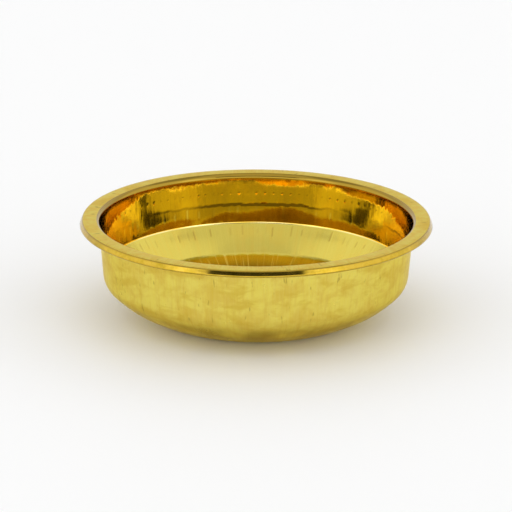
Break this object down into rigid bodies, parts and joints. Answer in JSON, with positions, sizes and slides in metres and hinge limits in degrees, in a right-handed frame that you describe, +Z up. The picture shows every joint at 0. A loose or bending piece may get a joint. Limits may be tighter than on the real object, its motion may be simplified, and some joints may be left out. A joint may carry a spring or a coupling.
{
  "type": "hammered bowl",
  "caption": "Wide round hammered brass bowl with a flat base, domed floor, upright wall and an out-turned flange rolled over a wire.",
  "frame": {"origin": "centre of the flat base's underside, on the surface that the bowl stands on", "axes": "+Z up along the bowl's axis of turning, +X and +Y level; the bowl is round, so their directions are free"},
  "size_m": [0.305, 0.305, 0.087],
  "materials": {
    "beaten_brass": "hand-hammered and polished, pale yellow, with upright hammer marks on the wall and radial ones on the floor",
    "drawn_brass_wire": "drawn wire, dull, hidden inside the lip"
  },
  "bodies": {
    "root": {"bowl_shell": "beaten_brass", "rim_wire": "drawn_brass_wire"}
  },
  "joints": []
}
